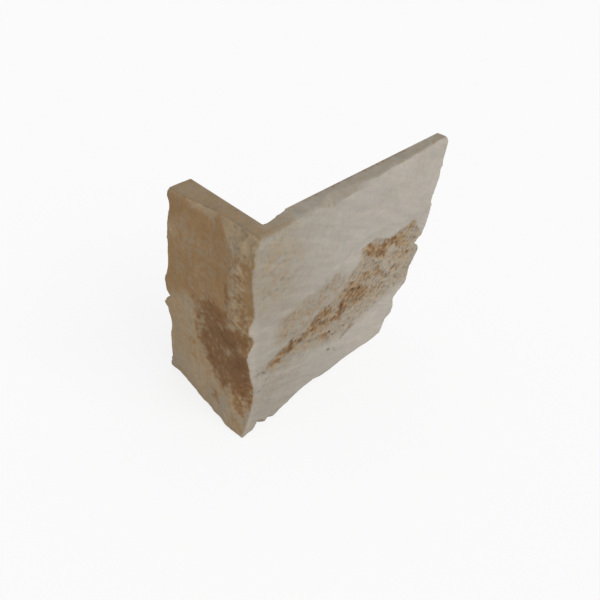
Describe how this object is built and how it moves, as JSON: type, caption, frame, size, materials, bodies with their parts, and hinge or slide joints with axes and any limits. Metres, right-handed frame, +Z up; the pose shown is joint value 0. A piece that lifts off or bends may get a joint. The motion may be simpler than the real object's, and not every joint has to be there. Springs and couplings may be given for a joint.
{
  "type": "stone cladding corner piece",
  "caption": "L-shaped cast stone cladding corner with rough outer faces, broken ends and two flat backs, glued round the outside corner of a wall.",
  "frame": {"origin": "foot of the inner arris, where the two flat backs and the bed meet", "axes": "+X runs along the long leg, +Y along the short leg, +Z up; the wall's own corner fills x > 0 and y > 0"},
  "size_m": [0.2721, 0.1294, 0.235],
  "materials": {
    "cast_stone": "matt cast face, pale grey-beige with ochre and brown stains"
  },
  "bodies": {
    "root": {"corner_stone": "cast_stone"}
  },
  "joints": []
}
